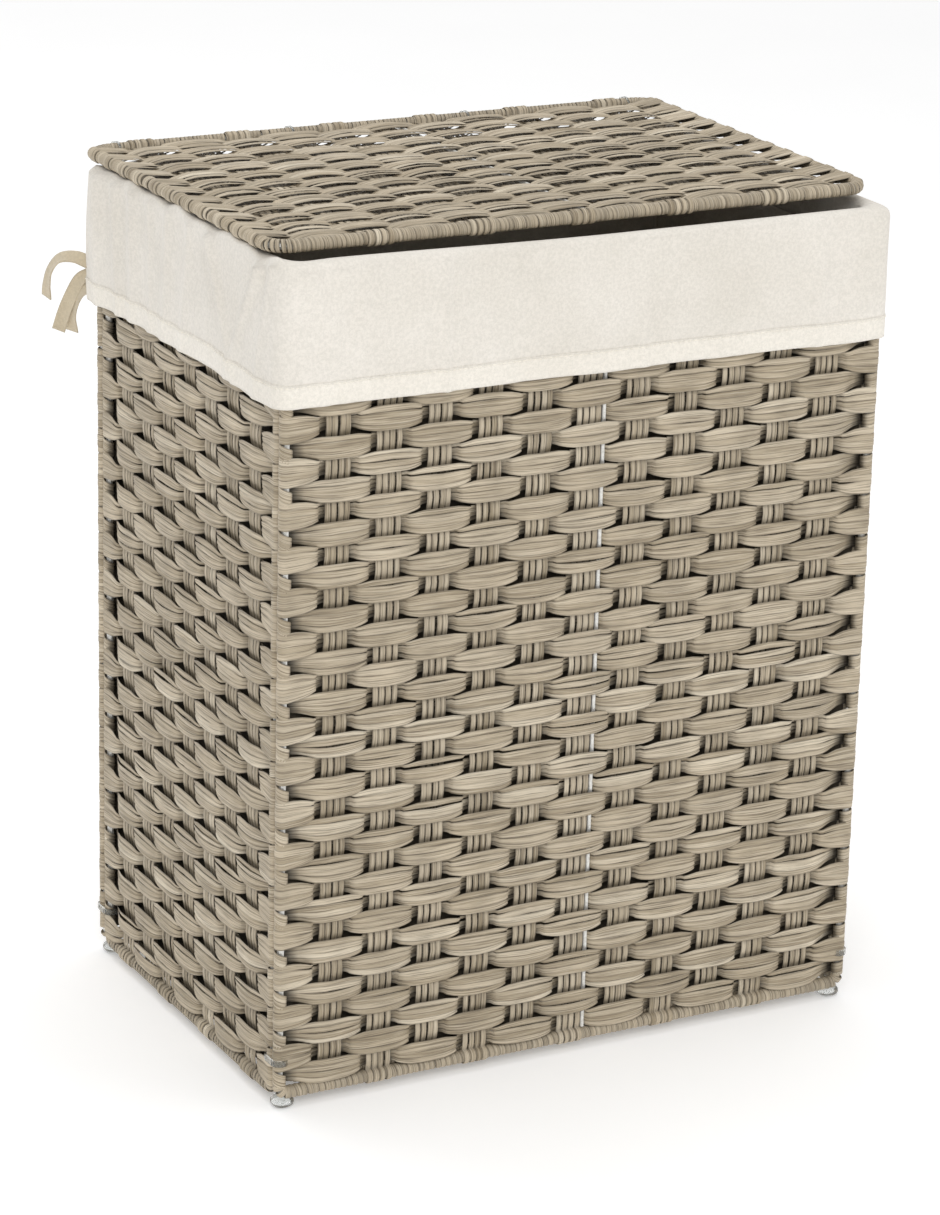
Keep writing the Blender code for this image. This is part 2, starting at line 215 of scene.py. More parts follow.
class Nodes:
    """A small helper that adds and joins the nodes of one material."""

    def __init__(self, name):
        self.material = bpy.data.materials.new(name)
        self.material.use_nodes = True
        self.tree = self.material.node_tree
        self.shader = self.tree.nodes["Principled BSDF"]

    def add(self, kind, inputs=(), **settings):
        """A new node, its inputs given as numbers, as tuples or as other nodes' outputs."""
        node = self.tree.nodes.new(f"ShaderNode{kind}")
        for key, value in settings.items():
            setattr(node, key, value)
        for key, value in dict(inputs).items():
            socket = node.inputs[key]
            if isinstance(value, (int, float)):
                socket.default_value = value
            elif isinstance(value, tuple):
                socket.default_value = (*value, 1.0)[: len(socket.default_value)]
            else:
                self.tree.links.new(value, socket)
        return node

    def uv(self, scale):
        """The strand's or the cloth's own coordinates, in metres, times scale."""
        vector = self.add("UVMap", uv_map="along").outputs["UV"]
        return self.add("Mapping", {"Vector": vector, "Scale": (*scale, 1.0)}).outputs["Vector"]

    def place(self, scale):
        """The object's coordinates, in metres, times scale."""
        vector = self.add("TexCoord").outputs["Object"]
        return self.add("Mapping", {"Vector": vector, "Scale": (scale,) * 3}).outputs["Vector"]

    def noise(self, vector, detail=2.0, roughness=0.5):
        inputs = {"Vector": vector, "Scale": 1.0, "Detail": detail, "Roughness": roughness}
        return self.add("TexNoise", inputs).outputs["Fac"]

    def ramp(self, value, stops):
        node = self.add("ValToRGB", {"Fac": value})
        elements = node.color_ramp.elements
        while len(elements) < len(stops):
            elements.new(0.5)
        for element, (position, colour) in zip(elements, stops):
            element.position = position
            element.color = (*colour, 1.0)
        return node.outputs["Color"]

    def span(self, value, low, high, start=0.0, end=1.0):
        """The value's stretch from start to end, spread over low to high."""
        inputs = {"Value": value, "From Min": start, "From Max": end, "To Min": low, "To Max": high}
        return self.add("MapRange", inputs).outputs["Result"]

    def mix(self, factor, first, second, blend="MIX"):
        inputs = {0: factor, 6: first, 7: second}
        return self.add("Mix", inputs, data_type="RGBA", blend_type=blend).outputs[2]

    def tint(self, colour, value, stops):
        """The colour, multiplied by the shades that the value picks from a ramp."""
        return self.mix(1.0, colour, self.ramp(value, stops), "MULTIPLY")

    def math(self, operation, first, second):
        return self.add("Math", {0: first, 1: second}, operation=operation).outputs[0]

    def bump(self, height, distance, strength=1.0, under=None):
        inputs = {"Height": height, "Distance": distance, "Strength": strength}
        if under is not None:
            inputs["Normal"] = under
        return self.add("Bump", inputs).outputs["Normal"]

    def finish(self, colour=None, roughness=None, normal=None, **constants):
        for socket, value in (("Base Color", colour), ("Roughness", roughness), ("Normal", normal)):
            if value is not None:
                self.tree.links.new(value, self.shader.inputs[socket])
        for socket, value in constants.items():
            self.shader.inputs[socket.replace("_", " ")].default_value = value
        return self.material


def rattan_material(name):
    """Flat woven plastic strand: lengthwise grooves and streaks, each strand its own tone."""
    n = Nodes(name)
    tones = (
        (0.0, (0.350, 0.285, 0.192)),
        (0.3, (0.465, 0.387, 0.274)),
        (0.7, (0.575, 0.490, 0.365)),
        (1.0, (0.730, 0.645, 0.505)),
    )
    base = n.ramp(n.add("Attribute", attribute_name="tone").outputs["Fac"], tones)
    streaks = n.noise(n.uv((26, 1300)), 3.0, 0.6)
    grooves = n.noise(n.uv((60, 3600)), 2.0, 0.55)
    patches = n.noise(n.place(38), 2.0, 0.5)
    dark = n.span(streaks, 1.0, 0.0, 0.34, 0.5)
    pale = n.span(streaks, 0.0, 1.0, 0.52, 0.7)
    colour = n.mix(n.math("MULTIPLY", dark, 0.70), base, (0.140, 0.108, 0.070))
    colour = n.mix(n.math("MULTIPLY", pale, 0.55), colour, (0.780, 0.705, 0.570))
    colour = n.tint(colour, patches, [(0.3, (0.86, 0.85, 0.83)), (0.7, (1.08, 1.07, 1.05))])
    # Multiplied in: each point's painted shade, darker behind the uprights, in the seams between
    # strands and round the posts, and on the rail wraps varied at random from turn to turn
    shade = n.add("Attribute", attribute_name="shade").outputs["Color"]
    colour = n.mix(1.0, colour, shade, "MULTIPLY")
    roughness = n.span(grooves, 0.40, 0.62, 0.3, 0.7)
    height = n.math("ADD", streaks, n.math("MULTIPLY", grooves, 0.5))
    normal = n.bump(height, 0.0005, 0.8)
    return n.finish(colour, roughness, normal)


def wire_material():
    n = Nodes("wire_paint")
    spots = n.noise(n.place(420), 3.0, 0.6)
    colour = n.ramp(spots, [(0.3, (0.62, 0.60, 0.55)), (0.6, (0.84, 0.83, 0.79))])
    roughness = n.span(spots, 0.28, 0.5)
    return n.finish(colour, roughness, n.bump(spots, 0.0002, 0.4), Metallic=0.35)


def clear_material():
    n = Nodes("clear_nylon")
    haze = n.noise(n.place(75), 2.0, 0.5)
    roughness = n.span(haze, 0.03, 0.12)
    colour = n.ramp(haze, [(0.3, (0.60, 0.61, 0.58)), (0.7, (0.90, 0.91, 0.89))])
    normal = n.bump(haze, 0.0003, 0.05)
    return n.finish(colour, roughness, normal, Transmission_Weight=0.94, IOR=1.48)


def cotton_material(name, pale, deep, thread=0.0007):
    """Plain weave cotton: crossed threads with slubs, soft patches and small flecks."""
    n = Nodes(name)
    turns = 1 / thread
    warp = n.noise(n.uv((60, turns)), 1.0, 0.5)
    weft = n.noise(n.uv((turns, 60)), 1.0, 0.5)
    cloth = n.math("ADD", warp, weft)
    patches = n.noise(n.place(14), 3.0, 0.55)
    flecks = n.noise(n.uv((900, 2300)), 1.0, 0.5)
    colour = n.ramp(patches, [(0.32, deep), (0.68, pale)])
    colour = n.tint(colour, cloth, [(0.25, (0.93, 0.92, 0.90)), (0.75, (1.03, 1.03, 1.02))])
    slubs = n.math("ADD", n.noise(n.uv((35, 420)), 2.0, 0.6), n.noise(n.uv((420, 35)), 2.0, 0.6))
    colour = n.tint(colour, slubs, [(0.36, (0.955, 0.95, 0.94)), (0.64, (1.02, 1.02, 1.02))])
    specks = n.noise(n.place(420), 3.0, 0.75)
    colour = n.tint(colour, specks, [(0.40, (0.93, 0.93, 0.925)), (0.60, (1.035, 1.03, 1.03))])
    fleck = n.span(flecks, 0.0, 0.45, 0.74, 0.82)
    colour = n.mix(fleck, colour, (0.52, 0.43, 0.30))
    roughness = n.span(cloth, 0.85, 0.97, 0.6, 1.4)
    crumple = n.noise(n.place(48), 4.0, 0.6)
    normal = n.bump(crumple, 0.0030, 0.7)
    normal = n.bump(cloth, 0.0003, 0.6, under=normal)
    return n.finish(colour, roughness, normal, Sheen_Weight=0.25, Sheen_Roughness=0.6)


def liner_back_material():
    """The bag's outer face, painted near black as shade: it only shows behind the weave's gaps."""
    n = Nodes("liner_back_painted_shade")
    cloth = n.noise(n.place(900), 2.0, 0.5)
    colour = n.ramp(cloth, [(0.3, (0.050, 0.040, 0.026)), (0.7, (0.078, 0.064, 0.044))])
    return n.finish(colour, n.span(cloth, 0.88, 0.98), n.bump(cloth, 0.0003, 0.5))


def floor_material():
    """White paper that glows a little, least where the hamper stands."""
    n = Nodes("floor_paper")
    grain = n.noise(n.place(3), 4.0, 0.5)
    colour = n.ramp(grain, [(0.3, (0.93, 0.93, 0.93)), (0.7, (0.95, 0.95, 0.95))])
    roughness = n.span(grain, 0.7, 0.85)
    nearness = n.add("TexGradient", {"Vector": n.place(0.12)}, gradient_type="SPHERICAL")
    glow = n.ramp(nearness.outputs["Fac"], [(0.35, (1.0, 1.0, 1.0)), (0.85, (0.60, 0.60, 0.60))])
    n.tree.links.new(glow, n.shader.inputs["Emission Color"])
    return n.finish(colour, roughness, Emission_Strength=0.45)


# -------- strands


def unit(vectors):
    return vectors / np.linalg.norm(vectors, axis=-1, keepdims=True)


def twisted(side, normal, angle):
    """Both of them turned by angle about the path that they cross."""
    cos_a, sin_a = np.cos(angle), np.sin(angle)
    return side * cos_a + normal * sin_a, normal * cos_a - side * sin_a


def run_of(path):
    """How far along the path each of its points is."""
    return np.concatenate([[0.0], np.cumsum(np.linalg.norm(np.diff(path, axis=0), axis=1))])


def cad_box(name):
    """The low and the high corner of a CAD node."""
    return [np.array(corner, float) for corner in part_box(name)]


def make_piece(name, points, faces, uv, material):
    """A smooth mesh whose uv, one row a point, goes in the layer that the materials read."""
    mesh = bpy.data.meshes.new(name)
    mesh.from_pydata(np.reshape(points, (-1, 3)).tolist(), [], faces)
    layer = mesh.uv_layers.new(name="along")
    corners = np.empty(len(mesh.loops), np.int32)
    mesh.loops.foreach_get("vertex_index", corners)
    layer.data.foreach_set("uv", np.reshape(uv, (-1, 2))[corners].astype(np.float32).ravel())
    mesh.materials.append(material)
    mesh.polygons.foreach_set("use_smooth", [True] * len(mesh.polygons))
    piece = bpy.data.objects.new(name, mesh)
    bpy.context.scene.collection.objects.link(piece)
    return piece


def ring_faces(rings, points, closed=0):
    """The quads between rings of that many points each, then the ends, the first ring first.

    closed says how many of the two ends get a face.
    """
    faces = []
    for here in range(0, (rings - 1) * points, points):
        below = here + points
        for j in range(points):
            after = (j + 1) % points
            faces.append((here + j, here + after, below + after, below + j))
    ends = (range(points - 1, -1, -1), range((rings - 1) * points, rings * points))
    return [*faces, *(tuple(end) for end in ends[:closed])]


class Strands:
    """Collects flat strands, each swept along its path, and makes one mesh of them."""

    def __init__(self):
        self.points, self.faces, self.uv, self.tones, self.shades = [], [], [], [], []
        self.count = 0

    def add(self, path, hint, width, tone, thickness=STRAND_T, tilt=0.0, shade=1.0):
        """hint is the way the strand's crowned face looks, one row a point or one for all."""
        n, k = len(path), len(SECTION)
        hint = np.broadcast_to(hint, path.shape)
        width = np.broadcast_to(width, n)
        tilt = np.broadcast_to(tilt, n)[:, None]
        tangent = unit(np.gradient(path, axis=0))
        side = unit(np.cross(hint, tangent))
        side, normal = twisted(side, np.cross(tangent, side), tilt)
        across = side[:, None, :] * (width[:, None] * SECTION[:, 0])[:, :, None]
        out = normal[:, None, :] * (thickness * SECTION[:, 1])[None, :, None]
        self.points.append((path[:, None, :] + across + out).reshape(-1, 3))
        ring = np.arange(n - 1)[:, None] * k + self.count
        here, after = np.arange(k)[None, :], (np.arange(k)[None, :] + 1) % k
        quads = np.stack([ring + here, ring + k + here, ring + k + after, ring + after], -1)
        self.faces += quads.reshape(-1, 4).tolist()
        first, last = self.count, self.count + (n - 1) * k
        self.faces.append(tuple(range(first, first + k)))
        self.faces.append(tuple(reversed(range(last, last + k))))
        along = run_of(path) + rng.uniform(0, 4)
        place_across = width[:, None] * SECTION[:, 0] + rng.uniform(0, 4)
        uv = np.stack([np.repeat(along[:, None], k, axis=1), place_across], -1)
        self.uv.append(uv.reshape(-1, 2))
        self.tones.append(np.full(n * k, tone))
        # Each point's painted shade: the strand's own, times that of its place on the section
        self.shades.append((np.broadcast_to(shade, n)[:, None] * SECTION_SHADE).ravel())
        self.count += n * k

    def build(self, name, material):
        """One mesh with each strand's tone and each point's painted shade, sharp along the edges."""
        piece = make_piece(
            name, np.concatenate(self.points), self.faces, np.concatenate(self.uv), material
        )
        mesh = piece.data
        for label, values in (("tone", self.tones), ("shade", self.shades)):
            attribute = mesh.attributes.new(label, "FLOAT", "POINT")
            attribute.data.foreach_set("value", np.concatenate(values).astype(np.float32))
        ends = np.empty(len(mesh.edges) * 2, np.int32)
        mesh.edges.foreach_get("vertices", ends)
        place_on_ring = ends.reshape(-1, 2) % len(SECTION)
        same = place_on_ring[:, 0] == place_on_ring[:, 1]
        sharp = same & np.isin(place_on_ring[:, 0], SHARP_POINTS)
        edge = mesh.attributes.new("sharp_edge", "BOOLEAN", "EDGE")
        edge.data.foreach_set("value", sharp)
        return piece


class Panel:
    """One woven panel's frame: its middle, its axes and its half sizes, read from the CAD."""

    def __init__(self, name, body, across, along, rows, bays, parity, bend, style):
        low, high = cad_box(f"{name}_edge_wrap")
        self.name, self.body = name, body
        self.u, self.v = np.array(across, float), np.array(along, float)
        self.w = np.cross(self.u, self.v)
        self.middle = (low + high) / 2
        self.half_u = abs((high - low) @ self.u) / 2 - WRAP_R
        self.half_v = abs((high - low) @ self.v) / 2 - WRAP_R
        self.rows, self.bays, self.parity, self.bend = rows, bays, parity, bend
        self.style = style
        self.inner = self.half_v - WRAP_R - RAIL_GAP
        self.pitch = 2 * self.inner / rows
        self.bay = 2 * self.half_u / bays

    def turn(self, u, v, w):
        """A direction in the panel's axes, in the world's."""
        u, v, w = np.broadcast_arrays(u, v, w)
        return u[..., None] * self.u + v[..., None] * self.v + w[..., None] * self.w

    def point(self, u, v, w):
        """A place in the panel's axes, in the world's."""
        return self.middle + self.turn(u, v, w)


def strand_tone(spread=0.2):
    """A strand's own tone, from 0, dark, to 1, pale."""
    return float(np.clip(rng.normal(0.5, spread), 0, 1))


def smooth(value):
    """0 below 0 and 1 above 1, with a smooth climb between them."""
    value = np.clip(value, 0, 1)
    return value * value * (3 - 2 * value)


def ridge(value, centre, width):
    """1 at the centre, falling off to both sides."""
    return np.exp(-(((value - centre) / width) ** 2))


def weft_wave(place, style):
    """How far a weft is from the upright it passes over, 0 to 1 bay, and its height there.

    It stays in front for more than half of the way, then drops steeply behind the next one.
    """
    place = np.mod(place, 2)
    away = np.minimum(place, 2 - place)
    front = np.cos(np.pi / 2 * np.minimum(away / OVER_REACH, 1))
    behind = np.cos(np.pi / 2 * np.minimum((1 - away) / (1 - OVER_REACH), 1))
    front, behind = (np.maximum(part, 0) ** style["bluntness"] for part in (front, behind))
    return away, style["swing_out"] * front - style["swing_in"] * behind


def weft_places(panel, row):
    """Where a row's path has its points, in bays: closest together where it drops."""
    mirrored = np.concatenate([[0.0], 1 - BAY_STEPS[:0:-1]])
    places = []
    for bay in range(panel.bays):
        passes_over = (bay + row + panel.parity) % 2 == 0
        places.append(bay + (BAY_STEPS if passes_over else mirrored))
    return np.concatenate([*places, [panel.bays]])


def by_tie(panel, u):
    """1 at the places u where one of the lid's hinge ties passes its back rail, else 0."""
    near = np.zeros_like(u)
    if panel.name == "lid":
        for tie in range(1, LID_TIES + 1):
            low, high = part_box(f"lid_hinge_tie_{tie}")
            away = np.abs(u - (low[0] + high[0]) / 2 + panel.middle[0])
            near = np.maximum(near, smooth((TIE_REACH - away) / TIE_FADE))
    return near


def weft_shade(panel, w):
    """How light a weft is at height w: dark behind the uprights, where no light gets to it."""
    lit = smooth((w + 0.0036) / 0.0028)
    # Painted light: on a two-faced panel the far face is painted lit again, as if light got there
    if panel.style["two_faced"]:
        lit = np.maximum(lit, 0.85 * smooth((-w - 0.0013) / 0.0010))
    return 0.16 + 0.84 * lit


def weave_wefts(strands, panel):
    """The strands that run across a panel, four to a row, and turn round its two posts."""
    style = panel.style
    loose = style["loose"]
    knots = np.arange(panel.bays + 1)

    def wobble(places, size):
        """Random offsets of that size, one at each upright, read at the places."""
        return np.interp(places, knots, rng.normal(0, size, len(knots)))

    for row in range(panel.rows):
        p = weft_places(panel, row)
        near_post = smooth(1 - np.minimum(p, panel.bays - p) / POST_REACH)
        middle_v = -panel.inner + panel.pitch * (row + 0.5) + rng.normal(0, ROW_SHIFT * loose)
        away, wave = weft_wave(p + row + panel.parity, style)
        turn = 1 - 2 * away
        over = smooth((0.83 - away) / 0.58)
        share = style["under"] + (style["over"] - style["under"]) * over
        at_post = np.where(turn > 0, style["post_over"], style["post_under"])
        share += near_post * (at_post - share)
        share *= 1 + wobble(p, ROW_HEIGHT * loose)
        share *= 1 - style["middle_gap"] * ridge(p, panel.bays / 2 + MIDDLE_GAP_AT, MIDDLE_GAP_WIDTH)
        wave = wave * (1 - near_post) + near_post * CURL_R * np.sign(turn) * np.sqrt(np.abs(turn))
        for end, reach in ((0, p), (-1, panel.bays - p)):
            if turn[end] < 0:
                emerging = -CURL_R + (style["swing_out"] + CURL_R) * smooth(reach / EMERGE_REACH)
                wave = np.where(reach < EMERGE_REACH, emerging, wave)
        sway = wobble(p, ROW_SWAY * loose)
        row_tone = rng.normal(0, ROW_TONE)
        for strand in range(STRANDS):
            rank = (2 * strand - (STRANDS - 1)) / (STRANDS - 1)
            place = rank * (STRANDS - 1) / (2 * STRANDS)
            height = panel.pitch * share
            shift = wobble(p, STRAND_SHIFT * loose**0.5)
            u = -panel.half_u + panel.bay * p
            v = middle_v + sway + place * height + shift * (1 - near_post)
            layer = WEFT_CROWN * (1 - rank**2) * over + WEFT_PARTING * rank * (1 - over)
            w = wave + (1 - near_post) * layer
            width = height / STRANDS * WEFT_OVERLAP
            if row == panel.rows - 1:
                limit = panel.half_v - TIE_ROOM - width / 2 - 0.0022 * (1 - rank)
                v = v - by_tie(panel, u) * np.maximum(v - limit, 0)
            tilt = (wobble(p, STRAND_TILT) + 0.5 * rank * (1 - over)) * (1 - near_post)
            tone = float(np.clip(strand_tone() + row_tone, 0, 1))
            # Painted shade, lifted to full light where a weft passes in front of a post
            shade = np.maximum(weft_shade(panel, w), near_post * (turn > 0))
            looks = (width, tilt, shade, CURL_R + style["bulge"] * (1 - rank**2))
            add_weft(strands, panel, (u, v, w), looks, tone, turn)


def extend(lines, ends, at_start):
    """Each line with its end piece, turned round and put first, or else put last."""
    if at_start:
        return [np.concatenate([end[::-1], line]) for line, end in zip(lines, ends)]
    return [np.concatenate([line, end]) for line, end in zip(lines, ends)]


def add_weft(strands, panel, line, looks, tone, turn):
    """One strand with its two ends curled round the posts.

    An end that is in front goes on round the post. One that is behind starts anew, slanting,
    and comes round to the face.
    """
    u, v, w = line
    width, tilt, shade, bulged_r = looks
    whole = [panel.point(u, v, w), panel.turn(0 * u, 0, 1), width, tilt, shade]
    slant = panel.style["slant"] * panel.pitch
    for end, sign in ((0, -1), (-1, 1)):
        passes_over = turn[end] > 0
        angles = np.radians(np.linspace(112, 250, 8) if passes_over else np.linspace(280, -25, 14))
        radius = bulged_r if passes_over else CURL_R
        out_u, out_w = -sign * np.cos(angles), np.sin(angles)
        rise = 0 if passes_over else slant * (1.0 if sign < 0 else 0.4)
        arc_u, arc_w = sign * panel.half_u + radius * out_u, radius * out_w
        curl = panel.point(arc_u, v[end] + rise * (angles / math.pi - 1), arc_w)
        out = panel.turn(out_u, 0, out_w)
        if passes_over:
            same = np.ones(len(angles))
            whole = extend(whole, [curl, out, same * width[end], 0 * same, same], sign < 0)
        else:
            # Painted shade on a curl that comes round a post: darker towards its end, on the post's
            # inner side, where the gap beside the post is in shadow
            inward = 0.35 + 0.65 * smooth((angles - 0.1) / 1.0)
            strands.add(curl, out, width[end] * 0.98, tone, shade=inward)
    path, hint, widths, tilts, shades = whole
    strands.add(path, hint, widths, tone, tilt=tilts, shade=shades)


def weave_stakes(strands, panel):
    """The uprights: strips side by side that pass the rows the other way from the wefts."""
    steps = 4
    q = np.arange(panel.rows * steps + 1) / steps - 0.5
    rows = np.arange(-1, panel.rows + 1)
    for stake in range(1, panel.bays):
        side = np.cos(np.pi * (stake + q + panel.parity))
        for strip in range(STRIPS):
            sway = np.interp(q, rows, rng.normal(0, 0.00022, len(rows)))
            offset = (strip - (STRIPS - 1) / 2) * STRIP_PITCH + rng.normal(0, 0.0002)
            u = -panel.half_u + panel.bay * stake + offset + sway
            v = -panel.inner + panel.pitch * (q + 0.5)
            v = np.minimum(v, panel.half_v - TIE_ROOM * by_tie(panel, u))
            w = 0.0001 - STAKE_SWING * side + rng.normal(0, 0.00012)
            width = STRIP_W * rng.uniform(0.93, 1.03)
            # Painted shade: on a wall an upright is darker where a weft passes over it, as that
            # weft's shadow; on a two-faced panel it darkens only between rows, alike from both faces
            facing = np.abs(side) if panel.style["two_faced"] else -side
            shade = 0.35 + 0.65 * smooth(0.62 + 0.9 * facing)
            whole = [panel.point(u, v, w), panel.turn(0 * u, 0, 1), shade]
            for end, sign in ((0, -1), (-1, 1)):
                last_row = 0 if sign < 0 else panel.rows - 1
                if (stake + last_row + panel.parity) % 2 == 0:
                    continue
                angles = np.radians(np.linspace(142, -95, 12))
                out_v, out_w = sign * np.cos(angles), np.sin(angles)
                loop = panel.point(u[end], sign * panel.half_v + LOOP_R * out_v, LOOP_R * out_w)
                ends = [loop, panel.turn(0, out_v, out_w), np.ones(len(angles))]
                whole = extend(whole, ends, sign < 0)
            path, hint, shade = whole
            strands.add(path, hint, width, strand_tone(0.26), shade=shade)


def rail_line(panel, sign, distance):
    """Where a rail and its two bends run, that far along them, and the way out from there.

    Returns u, v and then the way out, in the panel's axes.
    """
    corner_u, corner_v = panel.half_u - panel.bend, panel.half_v - panel.bend
    past_bend = distance - math.pi / 2 * panel.bend
    along = np.clip(past_bend, 0, 2 * corner_u)
    angle = (past_bend - along) / panel.bend
    out_u, out_v = np.sin(angle), sign * np.cos(angle)
    u, v = along - corner_u, sign * corner_v
    return u + panel.bend * out_u, v + panel.bend * out_v, out_u, out_v


def wrap_rails(strands, panel, turn_steps=12):
    """The strand wound tightly round the two rails that the wefts run beside."""
    pitch = panel.style["winding"]
    length = math.pi * panel.bend + 2 * (panel.half_u - panel.bend)
    turns = int(length / pitch)
    angle = np.linspace(0, 2 * math.pi * turns, turns * turn_steps + 1)
    outward, upward = np.sin(angle), np.cos(angle)
    wander_knots = np.arange(0, angle[-1] + 9, 3)
    shade_knots = np.arange(turns + 2)
    for sign in (-1, 1):
        wander = np.interp(angle, wander_knots, rng.normal(0, SPIRAL_WANDER, len(wander_knots)))
        distance = np.clip(length * angle / angle[-1] + wander, 0, length)
        u, v, out_u, out_v = rail_line(panel, sign, distance)
        out_u, out_v = outward * out_u, outward * out_v
        path = panel.point(u + SPIRAL_R * out_u, v + SPIRAL_R * out_v, SPIRAL_R * upward)
        shades = rng.uniform(0.74, 1.0, len(shade_knots))
        shade = np.interp(angle / (2 * math.pi), shade_knots, shades)
        hint = panel.turn(out_u, out_v, upward)
        strands.add(path, hint, pitch * 1.04, 0.55, tilt=0.11, shade=shade)


def wind_posts(strands, panel, turn_steps=10):
    """A strand wound on the posts under the weft ends, in painted shade, so no bare rod shows there.
    """
    reach = panel.half_v - panel.bend
    turns = int(2 * reach / UNDER_PITCH)
    angle = np.linspace(0, 2 * math.pi * turns, turns * turn_steps + 1)
    v = reach * (2 * angle / angle[-1] - 1)
    out_u, out_w = np.sin(angle), np.cos(angle)
    for sign in (-1, 1):
        path = panel.point(sign * panel.half_u + UNDER_R * out_u, v, UNDER_R * out_w)
        # A low tone and shade darken it as painted shade, since it only shows in shadowed gaps
        strands.add(path, panel.turn(out_u, 0, out_w), UNDER_PITCH * 1.15, 0.25, shade=0.42)


WALL_STYLE = {
    "swing_out": 0.0044,  # how far a weft stands out over an upright
    "swing_in": 0.0030,  # and goes in behind one
    "bluntness": 0.32,  # the smaller, the longer it stays out
    "over": 1.09,  # a row's height over an upright, in pitches
    "under": 0.70,  # behind one
    "post_over": 1.27,  # at a post that it passes in front of
    "post_under": 0.70,  # and at one that it comes round
    "slant": 0.34,  # how far it climbs as it comes round, in pitches
    "bulge": 0.0003,  # how much wider its middle strands turn there
    "middle_gap": 0.0,  # how much it narrows at the panel's middle
    "loose": 1.0,  # how irregular the rows are
    "winding": 0.0042,  # the pitch of the strand round the rails
    "wound_posts": False,  # whether the posts are wound under the wefts
    "two_faced": False,  # whether light gets to the back too
}
FLAT_STYLE = {
    "swing_out": 0.0031,
    "swing_in": 0.0024,
    "bluntness": 0.60,
    "over": 1.26,
    "under": 1.10,
    "post_over": 1.38,
    "post_under": 0.66,
    "slant": 0.30,
    "bulge": 0.0008,
    "middle_gap": 0.26,
    "loose": 2.5,
    "winding": 0.0031,
    "wound_posts": True,
    "two_faced": True,
}

# The side walls are woven a little more openly, and the bottom lies flatter, clear of the walls
SIDE_STYLE = WALL_STYLE | {"over": 1.05, "under": 0.60}
BOTTOM_STYLE = FLAT_STYLE | {"swing_out": 0.0022, "swing_in": 0.0022, "bulge": 0.0003}

PANELS = (
    Panel("front", "root", (1, 0, 0), (0, 0, 1), 38, 12, 1, WALL_BEND_R, WALL_STYLE),
    Panel("back", "root", (-1, 0, 0), (0, 0, 1), 38, 12, 1, WALL_BEND_R, WALL_STYLE),
    Panel("left", "root", (0, -1, 0), (0, 0, 1), 38, 8, 0, WALL_BEND_R, SIDE_STYLE),
    Panel("right", "root", (0, 1, 0), (0, 0, 1), 38, 8, 0, WALL_BEND_R, SIDE_STYLE),
    Panel("lid", "lid", (1, 0, 0), (0, 1, 0), 22, 12, 1, PANEL_BEND_R, FLAT_STYLE),
    Panel("bottom", "bottom_panel", (1, 0, 0), (0, 1, 0), 21, 12, 0, PANEL_BEND_R, BOTTOM_STYLE),
)


def weave_panel(panel, material):
    """The panel's three pieces, which stand in for its weave and its edge wrap."""
    makers = (("wefts", weave_wefts), ("uprights", weave_stakes), ("rail_wrap", wrap_rails))
    for label, maker in makers:
        strands = Strands()
        maker(strands, panel)
        if maker is wrap_rails and panel.style["wound_posts"]:
            wind_posts(strands, panel)
        piece = strands.build(f"{panel.name}_{label}", material)
        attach(piece, panel.body)
        node = "edge_wrap" if maker is wrap_rails else "weave"
        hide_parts(f"{panel.name}_{node}")


# -------- cotton tapes


TAPE_ROUTES = {
    "ribbon_tail_upper": (
        (-0.2326, 0.1490, 0.5190),
        (-0.2400, 0.1564, 0.5218),
        (-0.2478, 0.1652, 0.5196),
        (-0.2515, 0.1729, 0.5103),
        (-0.2518, 0.1787, 0.4987),
        (-0.2508, 0.1827, 0.4880),
    ),
    "ribbon_tail_lower": (
        (-0.2326, 0.1500, 0.5020),
        (-0.2354, 0.1584, 0.4961),
        (-0.2366, 0.1669, 0.4860),
        (-0.2359, 0.1745, 0.4744),
        (-0.2321, 0.1815, 0.4618),
    ),
    "ribbon_tail_back": (
        (-0.2326, 0.1510, 0.5100),
        (-0.2359, 0.1585, 0.5045),
        (-0.2388, 0.1669, 0.4916),
        (-0.2410, 0.1749, 0.4774),
        (-0.2425, 0.1814, 0.4634),
    ),
}
# How long each of them is, and the way its face looks
TAPE_FACES = ((-0.62, -0.45, 0.64), (-0.80, -0.55, 0.15), (-0.55, -0.70, 0.35))


def catmull_rom(points, steps):
    """Points along the smooth curve through the given points, steps to each span."""
    ends = [2 * points[0] - points[1], *points, 2 * points[-1] - points[-2]]
    result = []
    for a, b, c, d in zip(ends, ends[1:], ends[2:], ends[3:]):
        for i in range(steps):
            t = i / steps
            turn = 2 * b + (c - a) * t + (2 * a - 5 * b + 4 * c - d) * t**2
            result.append(0.5 * (turn + (3 * b - a - 3 * c + d) * t**3))
    return [*result, points[-1]]


